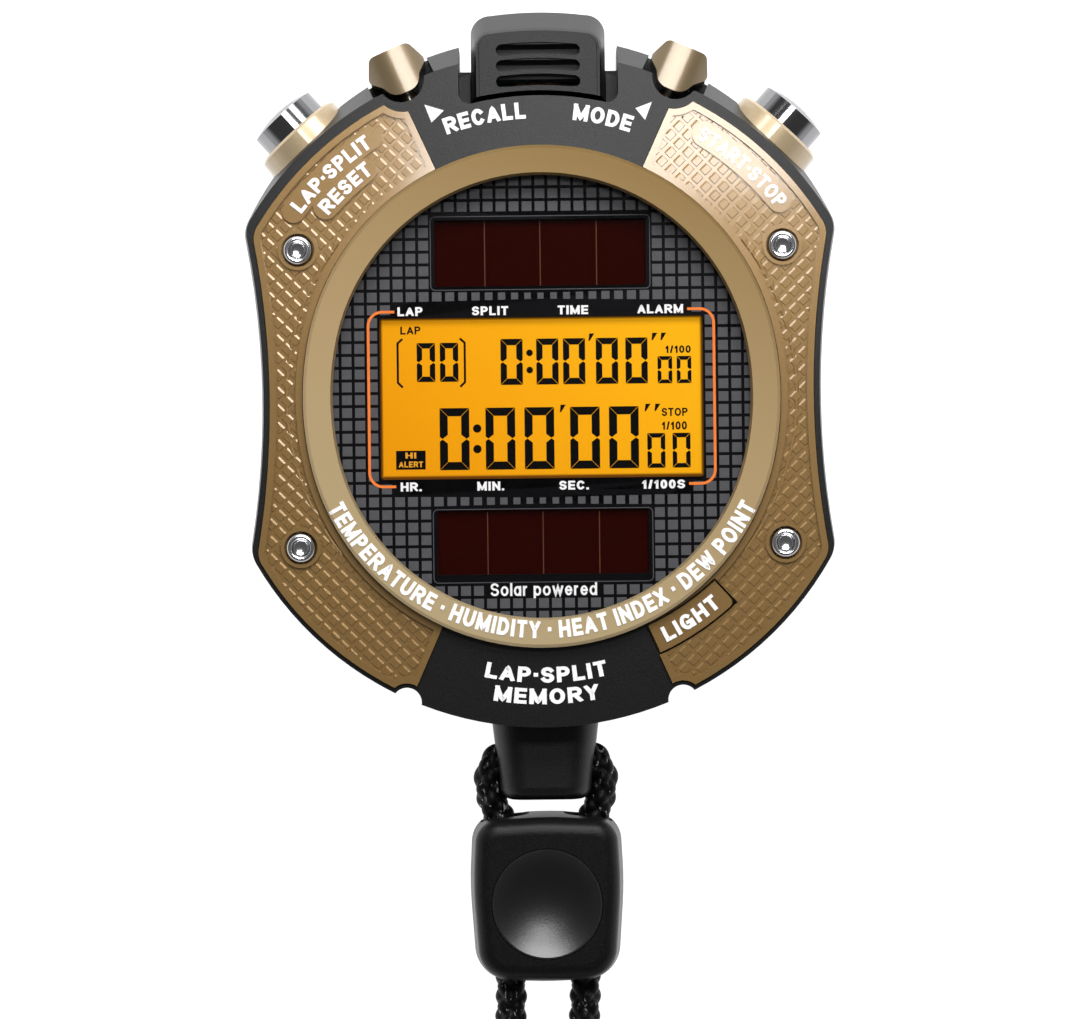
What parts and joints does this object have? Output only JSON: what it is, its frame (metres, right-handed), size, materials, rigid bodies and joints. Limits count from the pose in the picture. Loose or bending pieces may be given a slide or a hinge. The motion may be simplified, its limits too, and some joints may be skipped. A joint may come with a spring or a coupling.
{
  "type": "stopwatch",
  "caption": "Digital solar sports stopwatch with oval gold bezel, textured side plates, side pushers, sensor pod, and a neck cord with a cord lock.",
  "frame": {"origin": "on the dial axis, in the plane of the back face that the watch rests on", "axes": "+X towards 3 o'clock, +Y towards 12 o'clock, +Z out of the dial"},
  "size_m": [0.0683, 0.1705, 0.019],
  "materials": {
    "case_black": "fine speckled satin",
    "cover_black": "fine spark-eroded texture",
    "gold_plate": "metallised gold, textured",
    "gold_ring": "metallised gold, satin",
    "gold_key": "metallised gold, polished",
    "chrome_part": "polished",
    "steel_part": "plain",
    "clear_lens": "clear, hard coated",
    "dial_print": "printed",
    "solar_film": "dark red-brown thin film",
    "lcd": "amber display",
    "film": "thin optical film",
    "light_panel": "clear moulding",
    "frame_white": "moulded",
    "rubber_black": "soft",
    "rubber_grey": "striped conductive rubber",
    "board_green": "lacquered laminate",
    "resin_black": "cast resin",
    "brass_part": "plated",
    "cell_steel": "plated can",
    "switch_black": "moulded",
    "flex_amber": "polyimide film",
    "filter_cloth": "fine woven membrane",
    "cord_black": "braided with light flecks",
    "lock_black": "satin"
  },
  "bodies": {
    "case": {"front_case": "case_black", "rear_cover": "cover_black", "case_gasket": "rubber_black", "rear_cover_screws": "steel_part", "bezel_ring": "gold_ring", "lens": "clear_lens", "left_side_plate": "gold_plate", "right_side_plate": "gold_plate", "side_plate_screws": "chrome_part", "dial_plate": "dial_print", "solar_cells": "solar_film", "lcd_glass": "lcd", "front_polariser": "film", "rear_reflector": "film", "backlight_panel": "light_panel", "display_frame": "frame_white", "contact_strips": "rubber_grey", "circuit_board": "board_green", "board_screws": "steel_part", "main_chip": "resin_black", "quartz_crystal": "cell_steel", "buzzer_disc": "brass_part", "buzzer_contact": "steel_part", "battery_contacts": "steel_part", "coin_cell": "cell_steel", "sensor_pod": "case_black", "vent_grille": "case_black", "vent_filter": "filter_cloth", "sensor_board": "board_green", "humidity_sensor": "resin_black", "sensor_flex": "flex_amber", "light_key_spring": "steel_part", "light_switch": "switch_black", "lanyard_coil": "cord_black", "lanyard_end_sleeve": "lock_black", "coil_tie": "rubber_black", "lanyard_left_leg": "cord_black", "lanyard_right_leg": "cord_black", "small_key_boots": "rubber_black", "small_key_switches": "switch_black", "lap_reset_collar": "gold_key", "lap_reset_spring": "steel_part", "lap_reset_switch": "switch_black", "start_stop_collar": "gold_key", "start_stop_spring": "steel_part", "start_stop_switch": "switch_black"},
    "start_stop_button": {"start_stop_pusher": "chrome_part", "start_stop_stem_seal": "rubber_black", "start_stop_retaining_clip": "steel_part"},
    "lap_reset_button": {"lap_reset_pusher": "chrome_part", "lap_reset_stem_seal": "rubber_black", "lap_reset_retaining_clip": "steel_part"},
    "recall_button": {"recall_key": "gold_key"},
    "mode_button": {"mode_key": "gold_key"},
    "light_button": {"light_key": "gold_key"},
    "battery_hatch": {"battery_door": "cover_black", "battery_door_seal": "rubber_black"},
    "cord_lock": {"cord_lock_body": "lock_black", "cord_lock_spring": "steel_part"},
    "cord_lock_plunger": {"cord_lock_button": "lock_black"}
  },
  "joints": [
    {"name": "start_stop_press", "type": "slide", "parent": "case", "child": "start_stop_button", "axis": [-0.6691, -0.7431, 0], "range_m": [0, 0.001], "stiffness_N_per_m": 900, "springref_m": -0.0015, "deforming": ["start_stop_spring"]},
    {"name": "lap_reset_press", "type": "slide", "parent": "case", "child": "lap_reset_button", "axis": [0.6691, -0.7431, 0], "range_m": [0, 0.001], "stiffness_N_per_m": 900, "springref_m": -0.0015, "deforming": ["lap_reset_spring"]},
    {"name": "recall_press", "type": "slide", "parent": "case", "child": "recall_button", "axis": [0.3955, -0.9184, 0], "range_m": [0, 0.0007], "stiffness_N_per_m": 900, "springref_m": -0.0012},
    {"name": "mode_press", "type": "slide", "parent": "case", "child": "mode_button", "axis": [-0.3955, -0.9184, 0], "range_m": [0, 0.0007], "stiffness_N_per_m": 900, "springref_m": -0.0012},
    {"name": "light_press", "type": "slide", "parent": "case", "child": "light_button", "axis": [0, 0, -1], "range_m": [0, 0.0006], "stiffness_N_per_m": 700, "springref_m": -0.0015, "deforming": ["light_key_spring"]},
    {"name": "battery_door_turn", "type": "hinge", "parent": "case", "child": "battery_hatch", "pos_m": [0, -0.0146, 0], "axis": [0, 0, 1], "range_deg": [-45, 0]},
    {"name": "cord_lock_slide", "type": "slide", "parent": "case", "child": "cord_lock", "axis": [0, -1, 0], "range_m": [0, 0.005]},
    {"name": "cord_lock_press", "type": "slide", "parent": "cord_lock", "child": "cord_lock_plunger", "axis": [0, 0, -1], "range_m": [0, 0.002], "stiffness_N_per_m": 800, "springref_m": -0.0015, "deforming": ["cord_lock_spring"]}
  ]
}
